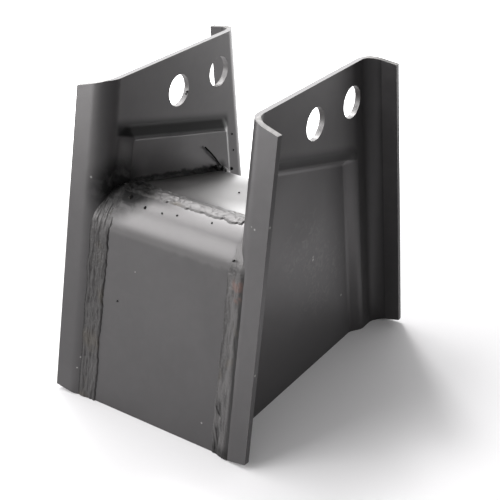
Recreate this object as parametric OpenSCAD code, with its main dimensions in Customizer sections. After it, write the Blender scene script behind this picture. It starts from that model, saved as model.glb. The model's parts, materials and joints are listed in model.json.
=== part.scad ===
// Undermount spring hanger: two flanged, pressed side plates with a bent box web welded between them.
// X runs across the legs, Y from front to back, Z up from the edges that are welded to a frame.
// The origin is the middle of the base.

/* [Side plates] */
// Height from the base edges to the leg ends
height = 264; // [200:1:340]
// Clear width between the legs at their ends
leg_gap = 126; // [100:1:170]
// Outward lean of each side plate towards the base, in degrees
splay = 1; // [0:0.1:2.5]
// Thickness of the side plates
plate_t = 5; // [3:0.5:8]
// Length of the flat plate between its two bend lines, at the base
base_len = 224; // [200:1:280]
// Lean of the front edge, in degrees
front_lean = 10.5; // [6:0.5:13]
// Lean of the rear edge, in degrees
rear_lean = 7; // [3:0.5:10]

/* [Edge flanges] */
// Inside radius of the bend into each flange
bend_r = 12; // [8:0.5:15]
// Angle that each flange is bent through, in degrees
flange_turn = 85; // [75:1:90]
// Reach of each flange from the inner face of its plate
flange_reach = 29; // [26:0.5:45]
// Rise of the lower edge of each flange above the base, at its tip
flange_rise = 4; // [1:0.5:8]

/* [Bolt holes] */
// Diameter of the bolt holes
hole_d = 27; // [16:0.5:32]
// Distance between the two holes of a leg
hole_spacing = 57; // [40:1:70]
// Distance of the holes below the leg ends
hole_drop = 32; // [22:1:45]
// Distance of the middle of the two holes behind the middle of the base
hole_setback = 37.5; // [30:0.5:42]

/* [Pressed panels] */
// Depth to which the panel is pressed inwards
press_depth = 7; // [3:0.5:9]
// Width of the sloped border of the panel
press_border = 10; // [6:0.5:12]
// Corner radius of the outline of the panel
press_corner_r = 13; // [12:1:26]
// Distance from the front bend line to the panel
press_front_gap = 2; // [1:0.5:10]
// Distance from the rear bend line to the panel
press_rear_gap = 12; // [4:0.5:20]
// Height of the upper edge of the panel above the top of the box
press_rise = 45; // [30:1:50]

/* [Box web] */
// Thickness of the two bent web plates
web_t = 5; // [3:0.5:8]
// Distance of the front web behind the face of the front flanges
web_inset = 5; // [2:0.5:8]
// Height of the flat front of the box, up to its bend
front_flat = 152; // [120:1:165]
// Outside radius of the two box bends
web_bend_r = 33; // [20:1:40]
// Angle that the front web is bent through, in degrees
front_turn = 73; // [65:1:80]
// Fall of the top of the box towards the back, in degrees
top_slope = 15.5; // [8:0.5:18]

/* [Welds] */
// Width of the groove welds down the front corners
groove_weld_w = 24; // [16:1:28]
// Height of the crown of the groove welds
groove_weld_crown = 2; // [1:0.25:3]
// Leg length of the fillet welds on the top and back of the box
fillet_weld_leg = 6; // [4:0.5:8]
// Width of the weld across the top of the box
seam_weld_w = 18; // [12:1:24]
// Height of the crown of the weld across the top
seam_weld_crown = 1.5; // [0.75:0.25:2.5]

/* [Hidden] */
$fn = 64;

LEFT = -1;
RIGHT = 1;
FRONT = -1;
REAR = 1;
PAINT = [0.17, 0.17, 0.18];
WELD_PAINT = [0.21, 0.2, 0.2];

// Allowance by which cutting shapes run past the faces that they cut
over = 20;
// Depth by which a flat is tucked under the round of its bend, so that the two join as one sheet
tuck = 0.002;
// Distance in front of the bend line at which the groove welds end, before the groove runs out
groove_weld_stop = 3;
// Height by which a weld stands proud, and the angle of its lap, where it starts again at a bend
restart_rise = 0.3;
restart_lap = 2;
// Size of a cutting block, larger than the whole hanger
block = 3 * height;

// Radii of the two faces of the flange bend, and the straight run of the flange after it
fold_r = bend_r + plate_t;
flange_w = (flange_reach - fold_r * (1 - cos(flange_turn))) / sin(flange_turn);
// Run of a flange along the unfolded sheet
fold_run = (bend_r + plate_t / 2) * flange_turn * PI / 180 + flange_w;
// Distance that a flange stands out past its bend line, square to that line and along the base
fold_out = fold_r * sin(flange_turn) + flange_w * cos(flange_turn);
front_out = fold_out / cos(front_lean);
rear_out = fold_out / cos(rear_lean);

// Bend lines at the base, set so that the flanges end equally far from the origin
front_y = (front_out - rear_out - base_len) / 2;
rear_y = (front_out - rear_out + base_len) / 2;

// Straight lines of the side view, each as the angle of its outward normal and its distance from the origin
function inset(line, d) = [line[0], line[1] - d];
function normal(line) = [cos(line[0]), sin(line[0])];
function line_through(angle, p) = [angle, p * [cos(angle), sin(angle)]];
function meet(a, b) =
    [a[1] * sin(b[0]) - b[1] * sin(a[0]), b[1] * cos(a[0]) - a[1] * cos(b[0])] / sin(b[0] - a[0]);

base_line = [270, 0];
front_bend_line = line_through(180 - front_lean, [front_y, 0]);
rear_bend_line = line_through(rear_lean, [rear_y, 0]);

// Outer face of the front web, the centre of its bend and the point where its bend ends
front_line = line_through(180 - front_lean, [front_y - front_out + web_inset, 0]);
front_tangent = meet(front_line, [90, front_flat]);
front_centre = front_tangent - web_bend_r * normal(front_line);
seam_angle = front_line[0] - front_turn;
seam_point = front_centre + web_bend_r * [cos(seam_angle), sin(seam_angle)];
seam_line = line_through(seam_angle + 90, front_centre);

// Top of the box, upper edge of the pressed panels, and the outer face and bend centre of the rear web
top_line = line_through(90 - top_slope, seam_point);
press_front_line = inset(front_bend_line, press_front_gap);
press_rear_line = inset(rear_bend_line, press_rear_gap);
press_top_line = inset(top_line, -press_rise);
rear_line = inset(press_rear_line, press_border);
rear_centre = meet(inset(top_line, web_bend_r), inset(rear_line, web_bend_r));

// Half of the corner between the two webs, which the weld across the top rounds over
seam_kink = (seam_angle - top_line[0]) / 2;

// Places the right-hand shape on either side of the hanger
module on_side(side) {
    if (side == LEFT) mirror([1, 0, 0]) children();
    else children();
}

// Frame of the right plate: X is 0 on its inner face, which leans outwards from the leg end down
module in_plate() {
    translate([leg_gap / 2, 0, height]) rotate([0, -splay, 0]) translate([0, 0, -height]) children();
}

// Stands a side-view shape up and gives it a thickness along X
module along_x(length) {
    rotate([90, 0, 90]) linear_extrude(length) children();
}

// Everything under the base
module below_base() {
    translate([-block / 2, -block / 2, -block]) cube(block);
}

// Frame of a bend of the right plate: Z runs up the middle of the bend, Y out of the plate or into it
module in_bend(y, lean, facing) {
    translate([fold_r, y, 0]) rotate([facing * lean, 0, 0]) children();
}

// Round of a bend of the right plate, d in from the inner face of the plate
module bend_round(y, lean, facing, d) {
    in_bend(y, lean, facing) cylinder(r = fold_r - d + tuck, h = block, center = true);
}

// Block under the face of a flange, d in from that face, from the bend out to a width and in to a depth
module flange_block(y, lean, facing, d, width, depth) {
    in_bend(y, lean, facing) rotate([0, 0, 180 - facing * flange_turn])
        translate([-depth, min(0, -facing * width), -block / 2]) cube([depth + fold_r - d, width, block]);
}

// Block outside the flat of the right plate between its bend lines, from x on
module flat_block(x, length) {
    ends = [[90, height + over], inset(base_line, -over)];
    translate([x, 0, 0]) along_x(length) polygon([
        meet(front_bend_line, ends[1]), meet(rear_bend_line, ends[1]),
        meet(rear_bend_line, ends[0]), meet(front_bend_line, ends[0])]);
}

// Flat, bends and flanges of the right plate as one bent sheet, too long as yet
module plate_sheet() {
    bends = [[front_y, front_lean, FRONT], [rear_y, rear_lean, REAR]];
    difference() {
        union() {
            flat_block(0, fold_r);
            for (b = bends) {
                bend_round(b[0], b[1], b[2], 0);
                flange_block(b[0], b[1], b[2], 0, flange_w, 0);
            }
        }
        flat_block(plate_t, 2 * fold_r);
        for (b = bends) {
            bend_round(b[0], b[1], b[2], plate_t);
            flange_block(b[0], b[1], b[2], plate_t, flange_w + over, 2 * fold_r);
        }
    }
}

// Waste above a flange, whose edge falls away as the folded sheet's straight edge does
module above_fold(lean, facing) {
    fall = atan(fold_run * sin(lean) / (flange_reach - plate_t));
    translate([plate_t, 0, height]) rotate([0, fall, 0])
        translate([-block / 2, min(0, facing * block), 0]) cube(block);
}

// Waste below a flange, whose lower edge rises from the middle of the bend to the tip
module below_fold(facing) {
    start = fold_r / 2;
    rise = atan(flange_rise / (flange_reach - start));
    translate([start, 0, 0]) rotate([0, -rise, 0])
        translate([-block / 2, min(0, facing * block), -block]) cube(block);
}

// Pressed panel as a solid, from an outline on one face to a smaller one further in
module press_block(face_x, shrink) {
    taper = press_border / press_depth;
    r = press_corner_r;
    sides = [inset(press_front_line, r + shrink), inset(press_rear_line, r + shrink)];
    ends = [inset(press_top_line, r + shrink), inset(base_line, -over)];
    hull() for (s = sides, e = ends) {
        centre = meet(s, e);
        translate([face_x + plate_t, centre[0], centre[1]]) rotate([0, -90, 0])
            cylinder(r1 = r + taper * plate_t, r2 = r - press_border, h = press_depth + plate_t, $fn = 32);
    }
}

// Solid that the pressed sheet pushes in past the inner face of the plate
module press_boss() {
    intersection() {
        press_block(0, 0);
        translate([-block + plate_t / 2, -block / 2, -block / 2]) cube(block);
    }
}

// Hollow that the pressing leaves in the outer face of the plate
module press_hollow() {
    press_block(plate_t, plate_t * tan(atan(press_depth / press_border) / 2));
}

// Right side plate
module side_plate() {
    difference() {
        in_plate() difference() {
            union() {
                difference() {
                    plate_sheet();
                    translate([-block / 2, -block / 2, height]) cube(block);
                    above_fold(front_lean, FRONT);
                    above_fold(rear_lean, REAR);
                    below_fold(FRONT);
                    below_fold(REAR);
                }
                press_boss();
            }
            press_hollow();
        }
        below_base();
        bolt_holes();
    }
}

// Bolt holes through both legs
module bolt_holes() {
    for (step = [-0.5, 0.5])
        translate([0, hole_setback + step * hole_spacing, height - hole_drop])
            rotate([0, 90, 0]) cylinder(d = hole_d, h = block, center = true);
}

// Space outside the inner face of the right plate, with its pressed panel
module plate_side_space() {
    in_plate() {
        translate([0, -block / 2, -block / 2]) cube(block);
        press_boss();
    }
}

// Stretches a side-view shape across the whole hanger
module across() {
    translate([-leg_gap, 0, 0]) along_x(2 * leg_gap) children();
}

// All that lies inside a face of the front web, d in from its outer face
module front_web_region(d) {
    r = web_bend_r - d;
    foot = inset(base_line, -d);
    across() polygon([meet(inset(front_line, d + tuck), foot), front_centre + (r - tuck) * normal(front_line),
        front_centre, meet(inset(seam_line, d), foot)]);
    across() translate(front_centre) circle(r);
}

// All that lies inside a face of the rear web, d in from its outer face
module rear_web_region(d) {
    r = web_bend_r - d;
    foot = inset(base_line, -d);
    seam = inset(seam_line, -d);
    across() polygon([
        meet(inset(top_line, d + tuck), seam), rear_centre + (r - tuck) * normal(top_line),
        rear_centre + (r - tuck) * normal(rear_line), meet(inset(rear_line, d + tuck), foot),
        meet(seam, foot)]);
    across() translate(rear_centre) circle(r);
}

// Bent sheet of the front web, too wide as yet
module front_sheet() {
    difference() {
        front_web_region(0);
        front_web_region(web_t);
        across() translate(front_centre) rotate(seam_angle) translate([-block / 2, -block]) square(block);
    }
}

// Bent sheet of the rear web, too wide as yet
module rear_sheet() {
    difference() {
        rear_web_region(0);
        rear_web_region(web_t);
    }
}

// Cuts a bent sheet to fit between the side plates
module between_plates() {
    difference() {
        children();
        for (side = [LEFT, RIGHT]) on_side(side) plate_side_space();
    }
}

// Both bent sheets, cut off along the flat of the right plate
module sheets_at_right() {
    difference() {
        union() {
            front_sheet();
            rear_sheet();
        }
        in_plate() translate([0, -block / 2, -block / 2]) cube(block);
    }
}

// All that lies behind a line along the front bend of the right plate, from x on and ahead of the bend line
module behind_bend(x, ahead) {
    in_plate() translate([x, front_y, 0]) rotate([-front_lean, 0, 0])
        translate([0, -ahead, -block / 2]) cube(block);
}

// All that lies outside the inner skin of the right plate, which the welds lie against
module plate_skin_space() {
    behind_bend(0, 0);
    in_plate() {
        bend_round(front_y, front_lean, FRONT, 0);
        press_boss();
    }
}

// Low round-topped section of a weld that lies on a surface, X away from it; sag is the drop to its edges
module crown_section(width, crown, sag, depth) {
    crown_r = (sag * sag + width * width / 4) / (2 * sag);
    intersection() {
        translate([crown - crown_r, 0]) circle(crown_r, $fn = 128);
        translate([-depth, -width / 2]) square([depth + crown, width]);
    }
}

// Section of a fillet weld in the corner of a web and a side plate, X away from the web and Y into the plate
module fillet_section() {
    bite = 0.8 * min(plate_t, web_t);
    intersection() {
        circle(fillet_weld_leg);
        translate([-bite, -fillet_weld_leg]) square([fillet_weld_leg + bite, fillet_weld_leg + bite]);
    }
}

// Carries a weld section round a box bend, from one angle of the side view up to another
module round_bend(centre, from, to) {
    translate([0, centre[0], centre[1]]) rotate([90, 0, 90]) rotate([0, 0, from])
        rotate_extrude(angle = to - from)
            translate([web_bend_r + restart_rise, -restart_rise]) children();
}

// Carries a weld section along a side-view line, anticlockwise round the box from a point on the line
module along_line(line, point, length) {
    translate([0, point[0], point[1]]) rotate([line[0], 0, 0]) rotate([0, 0, 90])
        linear_extrude(length) mirror([0, 1]) children();
}

// Section of the groove welds, whose edges run out into the faces beside it
module groove_section() {
    crown_section(groove_weld_w, groove_weld_crown, groove_weld_crown + 2 * restart_rise, 0.8 * web_t);
}

// Weld that fills the groove between the front web and the bend of the right plate
module front_weld() {
    difference() {
        in_plate() {
            along_line(front_line, front_tangent, front_flat / cos(front_lean) + over) groove_section();
            round_bend(front_centre, seam_angle, front_line[0] + restart_lap) groove_section();
        }
        below_base();
        sheets_at_right();
        in_plate() bend_round(front_y, front_lean, FRONT, 0);
        behind_bend(-block / 2, groove_weld_stop);
    }
}

// Fillet weld between the top of the box and the right panel, from the cross weld to the rear bend
module top_weld() {
    start = rear_centre + web_bend_r * normal(top_line);
    difference() {
        in_plate() translate([-press_depth, 0, 0])
            along_line(top_line, start, norm(seam_point - start) - seam_weld_w / 2) fillet_section();
        sheets_at_right();
        plate_skin_space();
    }
}

// Fillet weld down the back of the box and round its rear bend, against the right panel
module rear_weld() {
    foot = meet(rear_line, inset(base_line, -over));
    rear_tangent = rear_centre + web_bend_r * normal(rear_line);
    difference() {
        in_plate() translate([-press_depth, 0, 0]) {
            along_line(rear_line, foot, norm(rear_tangent - foot)) fillet_section();
            round_bend(rear_centre, rear_line[0] - restart_lap, top_line[0]) fillet_section();
        }
        below_base();
        sheets_at_right();
        plate_skin_space();
    }
}

// Weld across the top of the box, where the two webs meet
module seam_weld() {
    sag = seam_weld_crown + seam_weld_w / 2 * tan(seam_kink);
    difference() {
        translate([-leg_gap / 2, 0, 0]) along_x(leg_gap) translate(seam_point) rotate(seam_angle - seam_kink)
            crown_section(seam_weld_w, seam_weld_crown, sag, 0.8 * web_t);
        front_sheet();
        rear_sheet();
        for (side = [LEFT, RIGHT]) on_side(side) plate_skin_space();
    }
}

// Left side plate
module left_side_plate() { color(PAINT) on_side(LEFT) side_plate(); }

// Right side plate
module right_side_plate() { color(PAINT) on_side(RIGHT) side_plate(); }

// Front of the box
module front_web() { color(PAINT) between_plates() front_sheet(); }

// Top and back of the box
module rear_web() { color(PAINT) between_plates() rear_sheet(); }

// Weld across the top of the box
module top_seam_weld() { color(WELD_PAINT) seam_weld(); }

// Groove welds down the front corners
module front_left_weld() { color(WELD_PAINT) on_side(LEFT) front_weld(); }
module front_right_weld() { color(WELD_PAINT) on_side(RIGHT) front_weld(); }

// Fillet welds along the top
module top_left_weld() { color(WELD_PAINT) on_side(LEFT) top_weld(); }
module top_right_weld() { color(WELD_PAINT) on_side(RIGHT) top_weld(); }

// Fillet welds down the back
module rear_left_weld() { color(WELD_PAINT) on_side(LEFT) rear_weld(); }
module rear_right_weld() { color(WELD_PAINT) on_side(RIGHT) rear_weld(); }

left_side_plate();
right_side_plate();
front_web();
rear_web();
top_seam_weld();
front_left_weld();
front_right_weld();
top_left_weld();
top_right_weld();
rear_left_weld();
rear_right_weld();
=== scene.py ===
"""Looks of an undermount spring hanger: folded and welded steel under black paint, on a pale floor."""

import json
import math

import bmesh
import bpy
from mathutils import Matrix, Vector, noise


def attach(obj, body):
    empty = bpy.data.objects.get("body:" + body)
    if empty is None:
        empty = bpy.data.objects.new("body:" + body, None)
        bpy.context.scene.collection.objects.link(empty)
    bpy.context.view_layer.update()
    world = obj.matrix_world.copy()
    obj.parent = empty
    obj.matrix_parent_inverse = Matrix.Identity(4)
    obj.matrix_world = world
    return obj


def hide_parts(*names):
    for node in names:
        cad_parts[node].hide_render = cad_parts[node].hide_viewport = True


bl_info = {
    "name": "Undermount spring hanger",
    "version": (1, 0, 0),
    "blender": (4, 5, 0),
    "location": "View3D > Sidebar > Hanger",
    "description": "Builds the plates, box and weld beads of a painted spring hanger",
    "category": "Object",
}

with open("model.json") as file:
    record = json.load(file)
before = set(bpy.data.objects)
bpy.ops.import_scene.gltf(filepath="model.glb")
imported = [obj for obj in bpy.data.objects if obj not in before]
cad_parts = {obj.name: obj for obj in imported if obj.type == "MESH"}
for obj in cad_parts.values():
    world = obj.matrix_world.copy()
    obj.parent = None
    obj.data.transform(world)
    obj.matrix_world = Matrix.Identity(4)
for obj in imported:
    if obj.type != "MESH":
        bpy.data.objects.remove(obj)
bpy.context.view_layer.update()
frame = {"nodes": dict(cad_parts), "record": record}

MM = 0.001
BODY = "root"
LEFT = -1
RIGHT = 1
SIDES = {"left": LEFT, "right": RIGHT}

# Lines of the folded sheets, as the solids have them
HEIGHT = 264 * MM
LEG_HALF_GAP = 63 * MM
SPLAY = math.radians(1)
PRESS_DEPTH = 7 * MM
PLATE_BEND_R = 17 * MM
PLATE_T = 5 * MM
FRONT_FOLD = -111.9 * MM
FRONT_WEB_BEHIND = 12.9 * MM
FRONT_LEAN = math.radians(10.5)
FRONT_FOOT = Vector((-125.33, 0)) * MM
FRONT_FLAT_END = Vector((-97.16, 152)) * MM
BOX_BEND_R = 33 * MM
FRONT_BEND_CENTRE = Vector((-64.7, 146)) * MM
FRONT_BEND_TURN = math.radians(73)
TOP_SLOPE = math.radians(15.5)
SEAM = Vector((-68.45, 178.77)) * MM
TOP_END = Vector((51.5, 145.5)) * MM
REAR_BEND_CENTRE = Vector((42.68, 113.7)) * MM
REAR_LEAN = math.radians(7)
REAR_BEND_TURN = math.pi / 2 - TOP_SLOPE - REAR_LEAN
REAR_FLAT_TOP = Vector((75.4, 117.7)) * MM
REAR_FOOT = Vector((89.92, 0)) * MM


def plate_inner(z):
    """Distance of a plate's inner face from the middle plane at a height."""
    return LEG_HALF_GAP + (HEIGHT - z) * math.tan(SPLAY)


def panel_inner(z):
    """Distance of the pressed panel's inner face from the middle plane at a height."""
    return plate_inner(z) - PRESS_DEPTH


def smooth_step(low, high, value):
    """Zero at low, one at high and a soft rise between them; a fall where low is the larger."""
    share = min(1.0, max(0.0, (value - low) / (high - low)))
    return share * share * (3 - 2 * share)


def ridge(value, width):
    """One at zero, falling away to both sides over a width."""
    return math.exp(-((value / width) ** 2))


SEED_STEP = (17.31, 5.77, 9.13)


def ripple_noise(seed, *place):
    """Seeded noise about zero at a place in noise cells, where a whole number at the end picks a layer."""
    cell = Vector((place + (0.0, 0.0, 0.0))[:3])
    return noise.noise(cell + Vector([seed * step for step in SEED_STEP]))


def celled_noise(seed, first, second, cell, *layer):
    """Seeded noise over two lengths, in cells of this size each way."""
    return ripple_noise(seed, first / cell[0], second / cell[1], *layer)


def slanted_noise(seed, across, along, cell, slant):
    """Seeded noise in long cells that shift by one across a bead for each slant along it."""
    return ripple_noise(seed, across / cell[0] + along / slant, along / cell[1])


# Outline of the box seen from the side, as lengths along its outer face
FRONT_FLAT = (FRONT_FLAT_END - FRONT_FOOT).length
FRONT_ARC = BOX_BEND_R * FRONT_BEND_TURN
TOP_FLAT = (TOP_END - SEAM).length
REAR_ARC = BOX_BEND_R * REAR_BEND_TURN
REAR_FLAT = (REAR_FOOT - REAR_FLAT_TOP).length
SEAM_AT = FRONT_FLAT + FRONT_ARC
REAR_ARC_AT = SEAM_AT + TOP_FLAT
REAR_FLAT_AT = REAR_ARC_AT + REAR_ARC
OUTLINE = REAR_FLAT_AT + REAR_FLAT


def box_outline(length):
    """Point and outward normal, as (y, z) pairs, at a length along the box from its front foot."""
    front_normal = math.pi - FRONT_LEAN
    if length < FRONT_FLAT:
        angle = front_normal
        spot = FRONT_FOOT.lerp(FRONT_FLAT_END, length / FRONT_FLAT)
    elif length < SEAM_AT:
        angle = front_normal - (length - FRONT_FLAT) / BOX_BEND_R
        spot = FRONT_BEND_CENTRE + BOX_BEND_R * Vector((math.cos(angle), math.sin(angle)))
    elif length < REAR_ARC_AT:
        angle = math.pi / 2 - TOP_SLOPE
        spot = SEAM.lerp(TOP_END, (length - SEAM_AT) / TOP_FLAT)
    elif length < REAR_FLAT_AT:
        angle = math.pi / 2 - TOP_SLOPE - (length - REAR_ARC_AT) / BOX_BEND_R
        spot = REAR_BEND_CENTRE + BOX_BEND_R * Vector((math.cos(angle), math.sin(angle)))
    else:
        angle = REAR_LEAN
        spot = REAR_FLAT_TOP.lerp(REAR_FOOT, (length - REAR_FLAT_AT) / REAR_FLAT)
    return spot, Vector((math.cos(angle), math.sin(angle)))


class HangerFinish(bpy.types.PropertyGroup):
    """Colours and gloss of the painted steel"""

    paint: bpy.props.FloatVectorProperty(
        name="Paint",
        description="Colour of the black satin paint on the sheets",
        subtype="COLOR",
        size=3,
        min=0,
        max=1,
        default=(0.106, 0.102, 0.104),
    )
    bead_paint: bpy.props.FloatVectorProperty(
        name="Paint on the beads",
        description="Colour of the paint over the weld beads",
        subtype="COLOR",
        size=3,
        min=0,
        max=1,
        default=(0.110, 0.106, 0.106),
    )
    # Also the paler colour for the painted highlights and painted light on the sheets
    steel: bpy.props.FloatVectorProperty(
        name="Rubbed steel",
        description="Colour where the paint is rubbed thin or chipped off",
        subtype="COLOR",
        size=3,
        min=0,
        max=1,
        default=(0.42, 0.41, 0.40),
    )
    heat_tint: bpy.props.FloatVectorProperty(
        name="Heat tint",
        description="Straw colour that the welding heat leaves in the paint",
        subtype="COLOR",
        size=3,
        min=0,
        max=1,
        default=(0.150, 0.125, 0.085),
    )
    rust: bpy.props.FloatVectorProperty(
        name="Rust",
        description="Colour of the rust that shows through the paint on a bead",
        subtype="COLOR",
        size=3,
        min=0,
        max=1,
        default=(0.26, 0.12, 0.09),
    )
    gloss: bpy.props.FloatProperty(
        name="Paint roughness",
        description="Roughness of the clean paint",
        subtype="FACTOR",
        min=0,
        max=1,
        default=0.33,
    )
    sheen: bpy.props.FloatProperty(
        name="Metallic sheen",
        description="How far the thin paint shines like the steel under it",
        subtype="FACTOR",
        min=0,
        max=1,
        default=0.62,
    )


class HangerSizes(bpy.types.PropertyGroup):
    """Rounded edges and the sizes of the weld beads"""

    cut_round: bpy.props.FloatProperty(
        name="Cut edge round",
        description="Radius on the cut edges of the sheets and the bolt holes",
        unit="LENGTH",
        min=0.1 * MM,
        max=2 * MM,
        default=0.7 * MM,
    )
    press_round: bpy.props.FloatProperty(
        name="Pressed edge round",
        description="Radius in the corner where a pressed panel leaves its plate, on the gap side",
        unit="LENGTH",
        min=0.2 * MM,
        max=5 * MM,
        default=3.0 * MM,
    )
    crisp_round: bpy.props.FloatProperty(
        name="Crisp edge round",
        description="Radius on the edge of the pressed panels that stands out into the gap",
        unit="LENGTH",
        min=0.2 * MM,
        max=3 * MM,
        default=0.9 * MM,
    )
    draw_round: bpy.props.FloatProperty(
        name="Drawn edge round",
        description="Radius along the border of the recesses on the outer sides",
        unit="LENGTH",
        min=0.5 * MM,
        max=9 * MM,
        default=7.5 * MM,
    )
    fillet_leg: bpy.props.FloatProperty(
        name="Fillet leg",
        description="Leg of the fillet beads along the top and the rear of the box",
        unit="LENGTH",
        min=2 * MM,
        max=8 * MM,
        default=5.4 * MM,
    )
    seam_width: bpy.props.FloatProperty(
        name="Seam width",
        description="Width of the bead that joins the two webs across the top",
        unit="LENGTH",
        min=8 * MM,
        max=24 * MM,
        default=18 * MM,
    )
    wire: bpy.props.FloatProperty(
        name="Weld wire",
        description="Diameter of the wire end left standing on the left panel",
        unit="LENGTH",
        min=0.6 * MM,
        max=2 * MM,
        default=1.5 * MM,
    )


class HangerStage(bpy.types.PropertyGroup):
    """Light, floor and camera"""

    back_power: bpy.props.FloatProperty(
        name="Back power",
        description="Power of the small lamp high at the back left, which casts the sharpest shadow",
        unit="POWER",
        min=0,
        max=100,
        default=9.5,
    )
    softbox_power: bpy.props.FloatProperty(
        name="Softbox power",
        description="Power of the softbox above the left side",
        unit="POWER",
        min=0,
        max=100,
        default=14.5,
    )
    front_power: bpy.props.FloatProperty(
        name="Front power",
        description="Power of the low soft lamp at the front left",
        unit="POWER",
        min=0,
        max=100,
        default=17,
    )
    ambient: bpy.props.FloatProperty(
        name="Ambient",
        description="Even light from all round",
        subtype="FACTOR",
        min=0,
        max=1,
        default=0.60,
    )
    bright_side: bpy.props.FloatProperty(
        name="Bright side",
        description="Brightness of the surroundings at the left and back",
        min=0,
        max=5,
        default=3.8,
    )
    dim_side: bpy.props.FloatProperty(
        name="Dim side",
        description="Brightness of the surroundings at the right",
        min=0,
        max=1,
        default=0.06,
    )
    floor: bpy.props.FloatVectorProperty(
        name="Floor",
        description="Colour of the pale floor",
        subtype="COLOR",
        size=3,
        min=0,
        max=1,
        default=(0.92, 0.91, 0.92),
    )
    lens: bpy.props.FloatProperty(
        name="Lens",
        description="Focal length for a 36 mm wide sensor",
        unit="CAMERA",
        min=20,
        max=300,
        default=80.593,
    )
    yaw: bpy.props.FloatProperty(
        name="Camera yaw",
        description="Turn of the camera round the object, from the front towards the right",
        subtype="ANGLE",
        default=math.radians(33.907),
    )
    pitch: bpy.props.FloatProperty(
        name="Camera pitch",
        description="How far the camera looks down",
        subtype="ANGLE",
        default=math.radians(28.304),
    )
    roll: bpy.props.FloatProperty(
        name="Camera roll",
        description="Turn of the camera about its own line of sight",
        subtype="ANGLE",
        default=math.radians(0.203),
    )
    station: bpy.props.FloatVectorProperty(
        name="Camera place",
        description="Where the camera stands",
        subtype="TRANSLATION",
        unit="LENGTH",
        size=3,
        default=(0.4766, -0.6885, 0.5558),
    )


class Wire:
    """A socket of a node tree that takes part in Python arithmetic through Math nodes."""

    def __init__(self, bench, socket):
        self.bench = bench
        self.socket = socket

    def math(self, operation, *values):
        """A Math node on these values."""
        return self.bench.node("ShaderNodeMath", {"operation": operation}, dict(enumerate(values)))

    def __add__(self, other):
        return self.math("ADD", self, other)

    def __radd__(self, other):
        return self.math("ADD", other, self)

    def __sub__(self, other):
        return self.math("SUBTRACT", self, other)

    def __rsub__(self, other):
        return self.math("SUBTRACT", other, self)

    def __mul__(self, other):
        return self.math("MULTIPLY", self, other)

    def __rmul__(self, other):
        return self.math("MULTIPLY", other, self)

    def most(self, other):
        """The larger of the two."""
        return self.math("MAXIMUM", self, other)

    def size(self):
        """Its amount without the sign."""
        return self.math("ABSOLUTE", self)

    def rise(self, low, high):
        """Zero at low, one at high and a soft rise between them; a fall where low is the larger."""
        settings = {"interpolation_type": "SMOOTHSTEP"}
        first, last = (0.0, 1.0) if low < high else (1.0, 0.0)
        inputs = {
            "Value": self,
            "From Min": min(low, high),
            "From Max": max(low, high),
            "To Min": first,
            "To Max": last,
        }
        return self.bench.node("ShaderNodeMapRange", settings, inputs)


# Share of a spot's reach within which it is full
SPOT_CORE = 0.35


class Bench:
    """Builds one node tree."""

    def __init__(self, tree):
        self.tree = tree
        tree.nodes.clear()

    def node(self, kind, settings=None, inputs=None, output=0):
        """Adds a node of this type, sets its settings, then its sockets' values or links."""
        made = self.tree.nodes.new(kind)
        for name, value in (settings or {}).items():
            setattr(made, name, value)
        for key, value in (inputs or {}).items():
            socket = made.inputs[key]
            if isinstance(value, Wire):
                self.tree.links.new(value.socket, socket)
            elif socket.type == "RGBA" and len(value) == 3:
                socket.default_value = (*value, 1.0)
            else:
                socket.default_value = value
        found = made.outputs[output] if len(made.outputs) else None
        return Wire(self, found)

    def mix(self, factor, first, second):
        """A colour between two others."""
        inputs = {0: factor, 6: first, 7: second}
        return self.node("ShaderNodeMix", {"data_type": "RGBA"}, inputs, output=2)

    def place(self):
        """The object's own coordinates."""
        return self.node("ShaderNodeTexCoord", output="Object")

    def grain(self, place, scale, detail, roughness, distortion):
        """Noise with this many cells to a metre."""
        inputs = {
            "Vector": place,
            "Scale": scale,
            "Detail": detail,
            "Roughness": roughness,
            "Distortion": distortion,
        }
        return self.node("ShaderNodeTexNoise", {}, inputs)

    def split(self, place):
        """The three coordinates of a place."""
        first = self.node("ShaderNodeSeparateXYZ", {}, {0: place})
        return [Wire(self, socket) for socket in first.socket.node.outputs]

    def nearness(self, place, point, reach):
        """One at a point, falling to zero at its reach."""
        inputs = {0: place, 1: point}
        far = self.node("ShaderNodeVectorMath", {"operation": "DISTANCE"}, inputs, output="Value")
        return far.rise(reach, SPOT_CORE * reach)

    def spots(self, place, points):
        """One at any of these points, each a place and a reach in mm."""
        found = None
        for point, reach in points:
            spot = self.nearness(place, Vector(point) * MM, reach * MM)
            found = spot if found is None else found.most(spot)
        return found

    def attribute(self, name):
        """A value that the mesh carries."""
        return self.node("ShaderNodeAttribute", {"attribute_name": name}, output="Fac")

    def bump(self, height, distance, strength=1.0, normal=None):
        """A normal from a height that spans this distance."""
        inputs = {"Height": height, "Distance": distance, "Strength": strength}
        if normal is not None:
            inputs["Normal"] = normal
        return self.node("ShaderNodeBump", {}, inputs)

    def surface(self, inputs):
        """A principled surface as the material's output."""
        shader = self.node("ShaderNodeBsdfPrincipled", {}, inputs)
        self.node("ShaderNodeOutputMaterial", {}, {"Surface": shader})


# Small chips where bare steel shows, as (place in mm, reach in mm)
SHEET_CHIPS = (
    ((-74.6, -92.9, 188.7), 1.3),
    ((-26.1, -102.6, 122.9), 0.8),
    ((-75.2, -120.4, 34.2), 1.1),
    ((-77.4, -123.3, 24.4), 1.0),
    ((50.3, -121.6, 20.2), 1.1),
    ((93.4, -93.0, 192.3), 1.4),
    ((95.4, -114.1, 78.0), 1.3),
    ((63.8, 20.0, 105.9), 1.8),
    ((63.7, 20.3, 108.5), 1.5),
    ((64.8, 69.8, 48.0), 1.6),
    ((78.0, -94.3, 189.2), 1.0),
    ((81.2, -94.5, 188.0), 1.0),
)
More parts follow.
